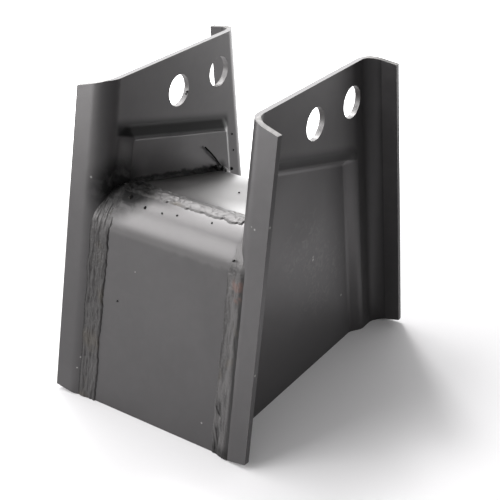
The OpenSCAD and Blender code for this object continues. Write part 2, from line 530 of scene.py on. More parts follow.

# Soot and slag where the welds meet in the upper left corners of the box, the two at the front spread wide
# as a painted shadow of the left plate over the front bend, as (place in mm, reach in mm)
SOOT_AND_SHADE_SPOTS = (
    ((-58.0, -77.0, 177.0), 34.0),
    ((-45.0, -76.0, 178.0), 26.0),
    ((-57.0, 58.0, 143.0), 12.0),
)

# Rust that shows through the paint on the right bead, as (place in mm, reach in mm)
RUST = (((71.0, -101.0, 141.0), 8.0), ((72.0, -103.0, 132.0), 6.0))

# Where the top of the box is duller, as (place in mm, reach in mm), and how far it leans there
DULL = (((0.0, -5.0, 162.0), 75.0),)
TOP_WARP = -0.09

# Where the right plate's outer face is rippled, as (place in mm, reach in mm)
DENTED = (((63.0, 5.0, 125.0), 45.0), ((63.0, 35.0, 85.0), 55.0))

TOP_FALL = math.tan(TOP_SLOPE)
REAR_FOLD = 112.1 * MM
REAR_FOLD_LEAN = math.tan(REAR_LEAN)

# Painted shade in the crease beside the top of the box on the gap side, as (from, to, soft flank) each way
CREVICE_ACROSS = (55 * MM, 59 * MM, 2 * MM)
CREVICE_ALONG = (-60 * MM, 62 * MM, 10 * MM)
CREVICE_ABOVE = (-2 * MM, 3 * MM, 3 * MM)
CREVICE_RAGGED = 7 * MM

# Painted shade along the panels' upper border, with less of it on the outer sides
BORDER_FOOT = (37 * MM, 40 * MM)
BORDER_TOP = (55 * MM, 44 * MM)
BORDER_ALONG = (-68 * MM, 76 * MM, 7 * MM)
BORDER_SHADE = 0.95
BORDER_OUTER_LESS = 0.2

# Painted shade in the outer rear folds and towards the bottom
FOLD_RISE = (-20 * MM, -9 * MM)
FOLD_SHADE = 0.5
LOW_FALL = (140 * MM, 20 * MM)
LOW_SHADE = 0.3

# Dust on the top of the box
DUST_ACROSS = (60 * MM, 52 * MM)
DUST_ABOVE = (-2.5 * MM, 2 * MM, MM)
DUST_ALONG = (-62 * MM, -52 * MM)
DUST = 0.18

# Paler paint on the front bend, partly rubbed paint and partly a painted highlight, with an edge that is
# ragged towards the right
BEND_ACROSS = (66 * MM, 60 * MM)
BEND_AHEAD = (-60 * MM, -68 * MM)
BEND_UP = (147 * MM, 151 * MM)
BEND_RAGGED = 8 * MM
BEND_RAGGED_ACROSS = (-20 * MM, 40 * MM)
BEND_RUB_AND_HIGHLIGHT = 0.10

# Painted light towards the top of the left front flange
FLANGE_ACROSS = (-66 * MM, -74 * MM)
FLANGE_AHEAD = (-60 * MM, -70 * MM)
FLANGE_UP = (140 * MM, 250 * MM)
FLANGE_PAINTED_LIGHT = 0.10

# Grain of the paint on the sheets and on the beads, as (cells to a metre, detail, roughness, distortion)
BROAD = (16.0, 2.0, 0.5, 0.0)
PATCH = (90.0, 3.0, 0.6, 0.6)
SPECK = (620.0, 2.0, 0.6, 0.0)
PEEL = (900.0, 1.5, 0.5, 0.0)
VEINS = (150.0, 3.0, 0.6, 1.5)
BEAD_BROAD = (45.0, 2.0, 0.5, 0.0)
BEAD_PATCH = (160.0, 4.0, 0.6, 0.4)
BEAD_GRIT = (1300.0, 3.0, 0.65, 0.0)

# Middle level of the grain, and the levels between which each blemish comes in
MID_GRAIN = 0.5
TONE_BROAD = (0.3, 0.7)
TONE_PATCH = (0.35, 0.68)
VEIN_LINES = (0.48, 0.72)
DARK_PATCH = (0.3, 0.6)
RUB_PATCH = (0.35, 0.65)
CHIP_SPECK = (0.30, 0.52)
CREST_RISE = (0.05, 0.7)
STRAW_BROAD = (0.55, 0.75)
RUST_PATCH = (0.4, 0.6)

# Shades of the paint, as shares of its colour: darker and paler tones, the darkest for soot and painted
# shade, and the painted shade in the beads' valleys; and the broad grain's share in its tone
DARK = 0.94
PALE = 1.06
DARKEST = 0.12
VALLEY_SHADE = 0.4
TONE_SHARE = 0.6

# How far bare steel, straw and rust show through, and the least that the soot and painted shade and the
# rubbing keep between patches
VEIN_RUB = 0.12
CHIP_BARE = 0.7
EDGE_BARE = 0.62
STRAW = 0.3
RUSTY = 0.28
SPOT_DARK_LEAST = 0.6
RUB_LEAST = 0.35
BEAD_DARK_LEAST = 0.7

# How much rougher than clean paint each blemish is
PATCH_ROUGH = 0.05
DULL_ROUGH = 0.12
DARKENED_ROUGH = 0.25
CUT_ROUGH = 0.15
BEAD_ROUGH = 0.04
BEAD_PATCH_ROUGH = 0.12

# Relief in the paint, as (depth, strength), and the shares of the lesser grains in it
WARP = (1.0, 1.0)
WAVE = (0.5 * MM, 0.25)
ORANGE_PEEL = (0.03 * MM, 0.3)
PITS = (0.3 * MM, 0.4)
GRIT = (0.06 * MM, 0.5)
PATCH_WAVE = 0.2
DENT_WAVE = 0.5
SPECK_PEEL = 0.5


def between(value, low, high, soft):
    """One between two limits, with a soft flank outside each."""
    return value.rise(low - soft, low) * value.rise(high + soft, high)


def at_least(least, mask):
    """A mask that stays above its least level."""
    return least + (1 - least) * mask


def shade(colour, share):
    """A colour at a share of its brightness."""
    return tuple(share * part for part in colour)


def new_material(name):
    """A material with an empty node tree, and the bench to build it on."""
    material = bpy.data.materials.new(name)
    material.use_nodes = True
    return material, Bench(material.node_tree)


def box_place(bench, place):
    """The three coordinates of a place, and its height above the sloping top of the box."""
    x, y, z = bench.split(place)
    return x, y, z, z + TOP_FALL * (y - SEAM.x) - SEAM.y


def painted_shade(bench, place, patch, outer):
    """How much painted shade a sheet gets: in the crease beside the box top, at the panels' border, in the
    rear folds and towards the bottom.
    """
    x, y, z, above = box_place(bench, place)
    ragged = above + CREVICE_RAGGED * (patch - MID_GRAIN)
    beside = between(x.size(), *CREVICE_ACROSS) * between(y, *CREVICE_ALONG)
    crevice = (1 - outer) * beside * between(ragged, *CREVICE_ABOVE)
    border = above.rise(*BORDER_FOOT) * above.rise(*BORDER_TOP) * between(y, *BORDER_ALONG)
    border = (BORDER_SHADE - BORDER_OUTER_LESS * outer) * border
    fold = outer * (y + REAR_FOLD_LEAN * z - REAR_FOLD).rise(*FOLD_RISE)
    low = z.rise(*LOW_FALL)
    return crevice.most(border).most(FOLD_SHADE * fold).most(LOW_SHADE * low)


def dust_rub_and_painted_light(bench, place, patch):
    """How much paler the paint is: dust on the box, the front bend partly rubbed and partly a painted
    highlight, and painted light on the left flange's top.
    """
    x, y, z, above = box_place(bench, place)
    dust = x.size().rise(*DUST_ACROSS) * between(above, *DUST_ABOVE) * y.rise(*DUST_ALONG)
    ragged = z + BEND_RAGGED * (patch - MID_GRAIN) * x.rise(*BEND_RAGGED_ACROSS)
    bend = x.size().rise(*BEND_ACROSS) * y.rise(*BEND_AHEAD) * ragged.rise(*BEND_UP)
    flange = x.rise(*FLANGE_ACROSS) * y.rise(*FLANGE_AHEAD) * z.rise(*FLANGE_UP)
    return (DUST * dust).most(BEND_RUB_AND_HIGHLIGHT * bend).most(FLANGE_PAINTED_LIGHT * flange)


def sheet_paint(finish):
    """Satin black paint on folded sheet, with orange peel, waves, soot, painted shade, dust, painted
    highlights and painted light, rubbed edges and chips.
    """
    material, bench = new_material("satin_black_paint")
    place = bench.place()
    broad = bench.grain(place, *BROAD)
    patch = bench.grain(place, *PATCH)
    speck = bench.grain(place, *SPECK)
    peel = bench.grain(place, *PEEL)
    veins = bench.grain(place, *VEINS)
    dented = bench.spots(place, DENTED)
    tone = TONE_SHARE * broad.rise(*TONE_BROAD) + (1 - TONE_SHARE) * patch.rise(*TONE_PATCH)
    colour = bench.mix(tone, shade(finish.paint, DARK), shade(finish.paint, PALE))
    paler = dust_rub_and_painted_light(bench, place, patch).most(VEIN_RUB * dented * veins.rise(*VEIN_LINES))
    colour = bench.mix(paler, colour, finish.steel)
    outer = bench.attribute("outer")
    # Soot and slag in the upper corners on the gap side, spread wide at the front as a painted shadow of
    # the left plate
    slag_and_shade = (1 - outer) * bench.spots(place, SOOT_AND_SHADE_SPOTS) * at_least(SPOT_DARK_LEAST, patch.rise(*DARK_PATCH))
    # Soot and painted shade together: the darker faces from the mesh, the corner spots, and the painted
    # shade in the crease, at the borders, in the folds and low down
    darkening = bench.attribute("soot_and_shade").most(slag_and_shade).most(painted_shade(bench, place, patch, outer))
    colour = bench.mix(darkening, colour, shade(finish.paint, DARKEST))
    chips = CHIP_BARE * bench.spots(place, SHEET_CHIPS) * speck.rise(*CHIP_SPECK)
    cut = bench.attribute("cut")
    # Rubbed paint on the cut faces, also a painted highlight on the tops and in the holes
    rubbed_and_highlit = EDGE_BARE * (cut * at_least(RUB_LEAST, patch.rise(*RUB_PATCH)))
    colour = bench.mix(chips.most(rubbed_and_highlit), colour, finish.steel)
    dull = bench.spots(place, DULL)
    rough = finish.gloss + PATCH_ROUGH * patch + DULL_ROUGH * dull + DARKENED_ROUGH * darkening + CUT_ROUGH * cut
    across = bench.split(place)[0]
    warp = bench.bump(dull * across * TOP_WARP, *WARP)
    wave = bench.bump(broad + PATCH_WAVE * patch + DENT_WAVE * dented * veins, *WAVE, warp)
    normal = bench.bump(peel + SPECK_PEEL * speck, *ORANGE_PEEL, wave)
    inputs = {"Base Color": colour, "Roughness": rough, "Metallic": finish.sheen, "Normal": normal}
    bench.surface(inputs)
    return material


def bead_paint(finish):
    """Rougher paint over the weld beads, with painted shade in the valleys, soot and painted shade from the
    mesh and the corner spots, and straw and rust tints.
    """
    material, bench = new_material("painted_weld")
    place = bench.place()
    patch = bench.grain(place, *BEAD_PATCH)
    broad = bench.grain(place, *BEAD_BROAD)
    grit = bench.grain(place, *BEAD_GRIT)
    crest = bench.attribute("crest")
    soot_and_shade = bench.attribute("soot_and_shade").most(bench.spots(place, SOOT_AND_SHADE_SPOTS))
    # Painted shade in the low parts of a bead, where its crest is small
    colour = bench.mix(crest.rise(*CREST_RISE), shade(finish.bead_paint, VALLEY_SHADE), finish.bead_paint)
    colour = bench.mix(STRAW * broad.rise(*STRAW_BROAD), colour, finish.heat_tint)
    rusty = bench.spots(place, RUST) * patch.rise(*RUST_PATCH)
    colour = bench.mix(RUSTY * rusty, colour, finish.rust)
    # Soot and painted shade, patchy
    darkened = soot_and_shade * at_least(BEAD_DARK_LEAST, patch.rise(*DARK_PATCH))
    colour = bench.mix(darkened, colour, shade(finish.bead_paint, DARKEST))
    rough = finish.gloss + BEAD_ROUGH + BEAD_PATCH_ROUGH * patch + DARKENED_ROUGH * soot_and_shade
    pitted = bench.bump(patch, *PITS)
    normal = bench.bump(grit, *GRIT, pitted)
    inputs = {"Base Color": colour, "Roughness": rough, "Metallic": finish.sheen, "Normal": normal}
    bench.surface(inputs)
    return material


def cached_material(key, make, finish):
    """The material made earlier under this name, or a new one."""
    found = bpy.data.materials.get(key)
    return found if found is not None else make(finish)


def finish_piece(name, bm, material, nodes):
    """Turns a bmesh into a piece that rides on the part, stands for CAD nodes and has its material."""
    mesh = bpy.data.meshes.new(name)
    bm.to_mesh(mesh)
    bm.free()
    piece = bpy.data.objects.new(name, mesh)
    bpy.context.scene.collection.objects.link(piece)
    mesh.materials.append(material)
    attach(piece, BODY)
    if nodes:
        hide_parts(*nodes)
    return piece


# Angles between faces: hardly any, at a pressed border at least, and at a cut edge at least
FLAT = math.radians(0.3)
CREASE = math.radians(16)
CUT = math.radians(60)

# A cut face is narrow, and this share of its rim is cut edges
EDGE_WIDTH = 4 * MM
EDGE_SHARE = 0.5
WELD_DISTANCE = 0.002 * MM

# Least part of a normal that makes a face an upper or an outer one
UPWARD = 0.5
OUTWARD = 0.1

HOLE_R = 13.5 * MM
HOLE_MARGIN = MM
HOLES = [Vector(mount["pos_m"]).yz for mount in frame["record"]["mounts"] if "bolt" in mount["name"]]

# How far the paint is rubbed off the cut faces, paler steel that on the tops and in the holes is also a
# painted highlight, and how much darker the paint is made on those that don't face up
TOP_RUB_AND_HIGHLIGHT = 1.0
HOLE_RUB_AND_HIGHLIGHT = 0.4
EDGE_RUB = 0.1
TIP_DARKENING = 0.8

# Steps round each kind of edge, and the round in the foot of a recess as a share of that on its rim
ROLLED_STEPS = 8
HOLLOW_STEPS = 4
CRISP_STEPS = 2
SUNK_SHARE = 0.3

FLAT_WEIGHT = 100


def rub_and_highlight_of(face):
    """How far the paint is rubbed off a face, partly a painted highlight: most on cut tops, less in the
    holes, none on the flats.
    """
    width = 2 * face.calc_area() / face.calc_perimeter()
    if width > EDGE_WIDTH:
        return 0.0
    middle = face.calc_center_median().yz
    if any((middle - hole).length < HOLE_R + HOLE_MARGIN for hole in HOLES):
        return HOLE_RUB_AND_HIGHLIGHT
    cut = sum(edge.calc_length() for edge in face.edges if edge.calc_face_angle(0) > CUT)
    if cut < EDGE_SHARE * face.calc_perimeter():
        return 0.0
    return TOP_RUB_AND_HIGHLIGHT if face.normal.z > UPWARD else EDGE_RUB


def round_edges(bm, edges, radius, segments):
    """Rounds the edges that are still there, and gives the faces that this makes."""
    made = bmesh.ops.bevel(
        bm,
        geom=[edge for edge in edges if edge.is_valid],
        offset=radius,
        offset_type="OFFSET",
        segments=segments,
        profile=0.5,
        affect="EDGES",
        material=-1,
        clamp_overlap=True,
    )
    return made["faces"]


def faces_out(edge):
    """True for an edge on the side of a plate that faces away from the gap."""
    facing = sum((face.normal for face in edge.link_faces), Vector())
    middle = sum((vert.co for vert in edge.verts), Vector()) / 2
    return facing.x * middle.x > 0


def sheet_bmesh(node, sizes):
    """A merged copy of a folded sheet with its pressed borders and its cut edges rounded."""
    bm = bmesh.new()
    bm.from_mesh(frame["nodes"][node].data)
    bmesh.ops.remove_doubles(bm, verts=bm.verts, dist=WELD_DISTANCE)
    bmesh.ops.dissolve_limit(bm, angle_limit=FLAT, verts=bm.verts, edges=bm.edges)
    paler_layer = bm.faces.layers.float.new("cut")
    darkening = bm.faces.layers.float.new("soot_and_shade")
    away = bm.faces.layers.float.new("outer")
    bm.normal_update()
    for face in bm.faces:
        paler_share = rub_and_highlight_of(face)
        face[paler_layer] = paler_share
        # Darker paint on the cut faces that don't face up
        face[darkening] = TIP_DARKENING if paler_share == EDGE_RUB else 0.0
    creases = [edge for edge in bm.edges if CREASE < edge.calc_face_angle(0) < CUT]
    outer = [edge for edge in creases if faces_out(edge)]
    hollow = [edge for edge in creases if not faces_out(edge) and not edge.is_convex]
    crisp = [edge for edge in creases if not faces_out(edge) and edge.is_convex]
    rolled = [edge for edge in outer if edge.is_convex]
    sunk = [edge for edge in outer if not edge.is_convex]
    round_edges(bm, rolled, sizes.draw_round, ROLLED_STEPS)
    round_edges(bm, sunk, SUNK_SHARE * sizes.draw_round, HOLLOW_STEPS)
    round_edges(bm, hollow, sizes.press_round, HOLLOW_STEPS)
    round_edges(bm, crisp, sizes.crisp_round, CRISP_STEPS)
    cuts = [edge for edge in bm.edges if edge.calc_face_angle(0) >= CUT]
    rounded = round_edges(bm, cuts, sizes.cut_round, CRISP_STEPS)
    for face in rounded:
        face[paler_layer] = max(neighbour[paler_layer] for edge in face.edges for neighbour in edge.link_faces)
    bm.normal_update()
    for face in bm.faces:
        face.smooth = True
        side = math.copysign(1, face.calc_center_median().x)
        face[away] = 1.0 if side * face.normal.x > OUTWARD else 0.0
    return bm


def even_shading(piece):
    """Keeps the flats flat in the shading where they meet a rounded edge."""
    weighted = piece.modifiers.new("flat_shading", "WEIGHTED_NORMAL")
    weighted.weight = FLAT_WEIGHT
    weighted.keep_sharp = True


class HANGER_OT_plates(bpy.types.Operator):
    """Make the two folded side plates with rounded cut edges and pressed panels"""

    bl_idname = "hanger.plates"
    bl_label = "Side plates"

    def execute(self, context):
        material = cached_material("satin_black_paint", sheet_paint, context.scene.hanger_finish)
        for side in SIDES:
            node = f"{side}_side_plate"
            bm = sheet_bmesh(node, context.scene.hanger_sizes)
            even_shading(finish_piece(f"{side}_plate", bm, material, [node]))
        return {"FINISHED"}


class HANGER_OT_webs(bpy.types.Operator):
    """Make the two folded webs of the box between the plates"""

    bl_idname = "hanger.webs"
    bl_label = "Box webs"

    def execute(self, context):
        material = cached_material("satin_black_paint", sheet_paint, context.scene.hanger_finish)
        for node in ("front_web", "rear_web"):
            bm = sheet_bmesh(node, context.scene.hanger_sizes)
            even_shading(finish_piece(f"{node}_sheet", bm, material, [node]))
        return {"FINISHED"}


HALF = 0.5


def bead_shell(grid, depth, place, outward):
    """A closed shell whose skin is a grid put in place by a rule that also gives its crest and its soot."""
    bm = bmesh.new()
    crest = bm.verts.layers.float.new("crest")
    darkening = bm.verts.layers.float.new("soot_and_shade")
    bmesh.ops.create_grid(bm, x_segments=grid[0], y_segments=grid[1], size=HALF)
    for vert in bm.verts:
        vert.co, vert[crest], vert[darkening] = place(vert.co.x + HALF, vert.co.y + HALF)
    bm.normal_update()
    facing = sum(face.normal.dot(outward(face.calc_center_median())) for face in bm.faces)
    if facing < 0:
        bmesh.ops.reverse_faces(bm, faces=bm.faces)
    bmesh.ops.solidify(bm, geom=list(bm.faces), thickness=depth)
    for vert in bm.verts:
        vert.co.z = max(vert.co.z, 0.0)
    bmesh.ops.recalc_face_normals(bm, faces=bm.faces)
    for face in bm.faces:
        face.smooth = True
    return bm


# Where a corner bead settles into fine strokes, sinks and gets soot with painted shade, as lengths past the
# front flat
SETTLE = (-8 * MM, 10 * MM)
SINK = (4 * MM, 46 * MM)
SINK_DEPTH = 1.2 * MM
TOP_DARK_RISE = (18 * MM, 34 * MM)

# Wandering edges of a run, its flank on the web, and the depth of the skirt outside it
SLOW_CELL = 24 * MM
FRAY_CELL = 4.5 * MM
INNER_WANDER = 1.3 * MM
INNER_FRAY = 0.9 * MM
OUTER_WANDER = 1.2 * MM
WEB_FLANK = (-0.2 * MM, 1.6 * MM)
RUN_SKIRT = 0.6 * MM

# Strands, threads and grit of a run, as cells across and along it, and their shares of the strand's depth
STRAND_CELL = (2.6 * MM, 15 * MM)
THREAD_CELL = (1.1 * MM, 6 * MM)
GRIT_CELL = (0.9 * MM, 1.2 * MM)
THREAD_SHARE = 0.45
GRIT_SHARE = 0.22
DRIFT = 0.7
DRIFT_CELL = 14 * MM


class Run:
    """One band of weld: edges across the joint, blend, height, strand depth and fan in mm, and a seed."""

    def __init__(self, inner, outer, blend, height, strand, fan, seed):
        self.inner = inner * MM
        self.outer = outer * MM
        self.blend = blend * MM
        self.height = height * MM
        self.strand = strand * MM
        self.fan = fan * MM
        self.seed = seed

    def lift(self, across, along, settle, strokes):
        """Height of the band above the sheet, which settles into fine strokes at the upper end."""
        slow = along / SLOW_CELL
        inner = self.inner + INNER_WANDER * ripple_noise(self.seed, slow) - self.fan * settle
        inner += INNER_FRAY * ripple_noise(self.seed, along / FRAY_CELL, 3)
        outer = self.outer + OUTER_WANDER * ripple_noise(self.seed, slow, 5)
        inside = smooth_step(*WEB_FLANK, across - inner) * smooth_step(0, self.blend, outer - across)
        drift = DRIFT * ripple_noise(self.seed, along / DRIFT_CELL, 9)
        strands = ripple_noise(self.seed, across / STRAND_CELL[0] + drift, along / STRAND_CELL[1], 2)
        threads = ripple_noise(self.seed, across / THREAD_CELL[0] + drift, along / THREAD_CELL[1], 4)
        grit = celled_noise(self.seed, across, along, GRIT_CELL, 6)
        body = self.height + self.strand * (strands + THREAD_SHARE * threads + GRIT_SHARE * grit)
        body = (1 - settle) * body + settle * strokes
        return inside * body - (1 - inside) * RUN_SKIRT


# Runs, darkening, strokes and filling of the two corner beads, and the skin they share
CORNER_BEADS = {
    "left": (Run(-10.5, 2.5, 3.5, 1.2, 0.75, 3.0, 1), Run(-3.0, 9.0, 3.5, 1.0, 0.85, 3.0, 2)),
    "right": (Run(-6.0, 13.5, 7.0, 0.6, 0.45, -4.0, 4),),
}
# Darker paint along each bead and at its foot, and soot with painted shade at its upper end, black on the
# left as a painted shadow of the left plate
BEAD_DARKENING = {"left": 0.45, "right": 0.0}
FOOT_DARKENING = {"left": 0.45, "right": 0.8}
TOP_SOOT_AND_SHADE = {"left": 1.0, "right": 0.3}
FAN_DEPTH = {"left": 0.6 * MM, "right": 0.3 * MM}
FILL = {"left": 0.35, "right": 1.0}
FILL_FROM = -4 * MM
FOOT_SOOT_FALL = (14 * MM, 3 * MM)
CORNER_BEAD_END = SEAM_AT - 8 * MM
CORNER_BEAD_HALF = 11.8 * MM
CORNER_BEAD_DEPTH = 3 * MM
CORNER_BEAD_GRID = (72, 420)
CORNER_BEAD_FACING = Vector((0, -1, 0.3))
BEAD_COVER = 3.8 * MM
CREST_HEIGHT = 1.2 * MM
END_FADE = 5 * MM
END_SINK = 1.5 * MM

# Fine strokes at the upper end of a corner bead, and the grain all over it
STROKE_SEED = 22
STROKE_CELL = (1.3 * MM, 18 * MM)
STROKE_SLANT = 7 * MM
STROKE_RISE = 0.1 * MM
GRAIN_SEED = 21
GRAIN_CELL = (1.6 * MM, 1.6 * MM)
GRAIN_DEPTH = 0.12 * MM

# Open slits low in the right bead
SLIT_SEED = 12
SLIT_START = (2 * MM, 6 * MM)
SLIT_END = (48 * MM, 42 * MM)
SLIT_ACROSS = (4 * MM, MM)
SLIT_MIDDLE = -2 * MM
SLIT_CELL = (2.4 * MM, 26 * MM)
SLIT_SLANT = 9 * MM
SLIT_WIDTH = 0.10
SLIT_DEPTH = 0.8 * MM


def slit_depth(across, along):
    """Depth of the slanted open slits low in a bead."""
    share = smooth_step(*SLIT_START, along) * smooth_step(*SLIT_END, along)
    share *= smooth_step(*SLIT_ACROSS, abs(across - SLIT_MIDDLE))
    line = slanted_noise(SLIT_SEED, across, along, SLIT_CELL, SLIT_SLANT)
    return SLIT_DEPTH * share * ridge(line, SLIT_WIDTH)


def fold_rise(across):
    """How far the plate's bend stands out of the front web's face, across from the plate's inner face."""
    reach = max(0.0, PLATE_BEND_R**2 - (PLATE_BEND_R - across) ** 2)
    return max(0.0, math.sqrt(reach) - FRONT_WEB_BEHIND) if across > 0 else 0.0


def bead_reach(spot):
    """How far a bead may reach into the plate at a place seen from the side, within its thickness."""
    ahead = FRONT_FOLD + math.tan(FRONT_LEAN) * spot.y - spot.x
    hollow_r = PLATE_BEND_R - PLATE_T
    cover = PLATE_BEND_R - math.sqrt(max(0.0, hollow_r**2 - max(0.0, ahead) ** 2))
    return min(CORNER_BEAD_HALF, cover - BEAD_COVER)


def filled(across):
    """Height of a bead that fills the corner, from the web's face up to the face of the flange."""
    return fold_rise(CORNER_BEAD_HALF) * smooth_step(FILL_FROM, CORNER_BEAD_HALF, across)


def corner_bead_skin(side, sign):
    """The rule that puts the skin of a corner bead in place."""

    def place(across_share, along_share):
        along = along_share * CORNER_BEAD_END
        across = (2 * across_share - 1) * CORNER_BEAD_HALF
        spot, normal = box_outline(along)
        if across > 0:
            across *= bead_reach(spot) / CORNER_BEAD_HALF
        past = along - FRONT_FLAT
        settle = smooth_step(*SETTLE, past)
        slanted = slanted_noise(STROKE_SEED, across, along, STROKE_CELL, STROKE_SLANT)
        strokes = STROKE_RISE + FAN_DEPTH[side] * slanted
        lift = max(run.lift(across, along, settle, strokes) for run in CORNER_BEADS[side])
        lift -= SINK_DEPTH * smooth_step(*SINK, past)
        if sign == RIGHT:
            lift -= slit_depth(across, along)
        lift += GRAIN_DEPTH * celled_noise(GRAIN_SEED, across, along, GRAIN_CELL)
        height = max(fold_rise(across), FILL[side] * filled(across)) + lift
        fade = smooth_step(0, END_FADE, CORNER_BEAD_END - along)
        spot = spot + normal * (height * fade - END_SINK * (1 - fade))
        x = sign * (plate_inner(spot.y) + across)
        # Darker along the bead and at its foot, with soot and painted shade at the upper end
        foot = smooth_step(*FOOT_SOOT_FALL, along)
        soot_and_shade = BEAD_DARKENING[side] * (1 - foot) * (1 - settle) + FOOT_DARKENING[side] * foot
        soot_and_shade += TOP_SOOT_AND_SHADE[side] * smooth_step(*TOP_DARK_RISE, past)
        # How far the bead stands up, which keeps it out of the painted valley shade
        crest = max(lift, settle * MM, 0.0) / CREST_HEIGHT
        return Vector((x, spot.x, spot.y)), crest, soot_and_shade

    return place


class HANGER_OT_corner_beads(bpy.types.Operator):
    """Make the wide groove beads in the two front corners, each of one or two rough runs"""

    bl_idname = "hanger.corner_beads"
    bl_label = "Corner beads"

    def execute(self, context):
        material = cached_material("painted_weld", bead_paint, context.scene.hanger_finish)
        for side, sign in SIDES.items():
            place = corner_bead_skin(side, sign)
            bm = bead_shell(CORNER_BEAD_GRID, CORNER_BEAD_DEPTH, place, lambda middle: CORNER_BEAD_FACING)
            finish_piece(f"{side}_corner_bead", bm, material, [f"front_{side}_weld"])
        return {"FINISHED"}


# Length of the seam, the kink between the webs under it, and its skin
SEAM_HALF_LENGTH = 57 * MM
SEAM_KINK = math.radians(11)
SEAM_GRID = (40, 220)
SEAM_DEPTH = 2.4 * MM
SEAM_MARGIN = 0.58
SEAM_RISE = 0.8 * MM
SEAM_SKIRT = 0.8 * MM
SEAM_FLANK = 1.6 * MM

# Wandering and frayed edges of the seam, with a layer of noise for each side
EDGE_SEED = 31
EDGE_CELL = 7 * MM
EDGE_WANDER = 0.16
EDGE_LAYER = 4
FRAY_SEED = 32
EDGE_FRAY_CELL = 2.2 * MM
EDGE_FRAY = 0.8 * MM

# Raised lip inside the edges, and the grain between them
LIP_INSIDE = 2.2 * MM
LIP_WIDTH = 1.1 * MM
LIP_RISE = 0.25 * MM
SEAM_GRAIN_SEED = 33
SEAM_GRAIN_CELL = (5 * MM, 3 * MM)
SEAM_GRAIN = 0.25 * MM

# Curled grooves in the seam
CURL_SEED = 34
CURL_CELL = (9 * MM, 6 * MM)
CURL = 1.4
SWIRL_SEED = 35
SWIRL_CELL = (7 * MM, 2.6 * MM)
SWIRL_WIDTH = 0.07
SWIRL_DEPTH = 0.4 * MM

# Lumps of slag at the left end of the seam, darkened with soot and with a painted shadow of the left plate
SLAG_RISE = (-24 * MM, -36 * MM)
SLAG_SEED = 36
SLAG_CELL = (4.5 * MM, 4 * MM)
SLAG_HEIGHT = 0.6 * MM
SLAG_LUMPS = 1.6 * MM
SLAG_SOOT_AND_SHADE = 0.85
SLAG_DARK_LUMPS = 0.3

# What the seam's body, its lip and the banks of its grooves add to its crest, which keeps them out of the
# painted shade in its grooves and at its edges
SEAM_CREST = 0.6
LIP_CREST = 0.25
BANK_CREST = 0.25
BANK_WIDTH = 0.1


def seam_skin(width, normal):
    """The rule that puts the skin of the seam in place about its upward normal."""
    back = Vector((0, normal.z, -normal.y))
    root = Vector((0, SEAM.x, SEAM.y))

    def place(across_share, along_share):
        x = (2 * along_share - 1) * SEAM_HALF_LENGTH
        across = (2 * across_share - 1) * SEAM_MARGIN * width
        layer = math.copysign(EDGE_LAYER, across)
        edge = HALF * width * (1 + EDGE_WANDER * ripple_noise(EDGE_SEED, x / EDGE_CELL, layer))
        edge += EDGE_FRAY * ripple_noise(FRAY_SEED, x / EDGE_FRAY_CELL, layer)
        drop = abs(across) * math.tan(SEAM_KINK)
        if across < 0:
            drop += across * across / (2 * BOX_BEND_R)
        within = edge - abs(across)
        inside = smooth_step(0, SEAM_FLANK, within)
        lip = ridge(within - LIP_INSIDE, LIP_WIDTH)
        grain = SEAM_GRAIN * celled_noise(SEAM_GRAIN_SEED, x, across, SEAM_GRAIN_CELL)
        curl = CURL * celled_noise(CURL_SEED, x, across, CURL_CELL)
        swirl = abs(ripple_noise(SWIRL_SEED, x / SWIRL_CELL[0] + curl, across / SWIRL_CELL[1] - curl))
        slag_and_shade = smooth_step(*SLAG_RISE, x)
        lump = celled_noise(SLAG_SEED, x, across, SLAG_CELL)
        lift = SEAM_RISE + LIP_RISE * lip + grain - SWIRL_DEPTH * ridge(swirl, SWIRL_WIDTH)
        lift += slag_and_shade * (SLAG_HEIGHT + SLAG_LUMPS * lump)
        height = -drop + inside * lift - (1 - inside) * SEAM_SKIRT
        spot = root + Vector((x, 0, 0)) + back * across + normal * height
        crest = inside * (SEAM_CREST + LIP_CREST * lip + BANK_CREST * min(1.0, swirl / BANK_WIDTH))
        return spot, crest, slag_and_shade * (SLAG_SOOT_AND_SHADE + SLAG_DARK_LUMPS * lump)

    return place


class HANGER_OT_seam_bead(bpy.types.Operator):
    """Make the flat ragged bead that joins the two webs across the top"""

    bl_idname = "hanger.seam_bead"
    bl_label = "Seam bead"

    def execute(self, context):
        material = cached_material("painted_weld", bead_paint, context.scene.hanger_finish)
        tilt = math.pi / 2 - TOP_SLOPE + SEAM_KINK
        normal = Vector((0, math.cos(tilt), math.sin(tilt)))
        place = seam_skin(context.scene.hanger_sizes.seam_width, normal)
        bm = bead_shell(SEAM_GRID, SEAM_DEPTH, place, lambda middle: normal)
        finish_piece("top_seam_bead", bm, material, ["top_seam_weld"])
        return {"FINISHED"}


FILLET_RUNS = {
    "top": (SEAM_AT + 9 * MM, REAR_ARC_AT + 2 * MM),
    "rear": (REAR_ARC_AT, OUTLINE),
}

# Each fillet's leg as a share of the full one, its darkening and its seed; the top left one is fully dark
# as painted shade in the junction
FILLETS = {
    "top_left": (0.55, 1.0, 41),
    "rear_left": (1.0, 0.2, 42),
    "top_right": (0.9, 0.4, 43),
    "rear_right": (1.0, 0.2, 44),
}
FILLET_OVERRUN = math.radians(28)
FILLET_GRID = (18, 170)
FILLET_DEPTH = 1.6 * MM
FILLET_FLATNESS = 0.9

# Swelling, lumps and grit of a fillet, as cells along it and turns of noise round it
FILLET_BODY = 0.86
SWELL = 0.26
SWELL_CELL = 9 * MM
LUMP = 0.22
LUMP_CELL = 3.2 * MM
LUMP_TURNS = 2
FILLET_GRIT = 0.35 * MM
FILLET_GRIT_CELL = 1.4 * MM
FILLET_GRIT_TURNS = 4


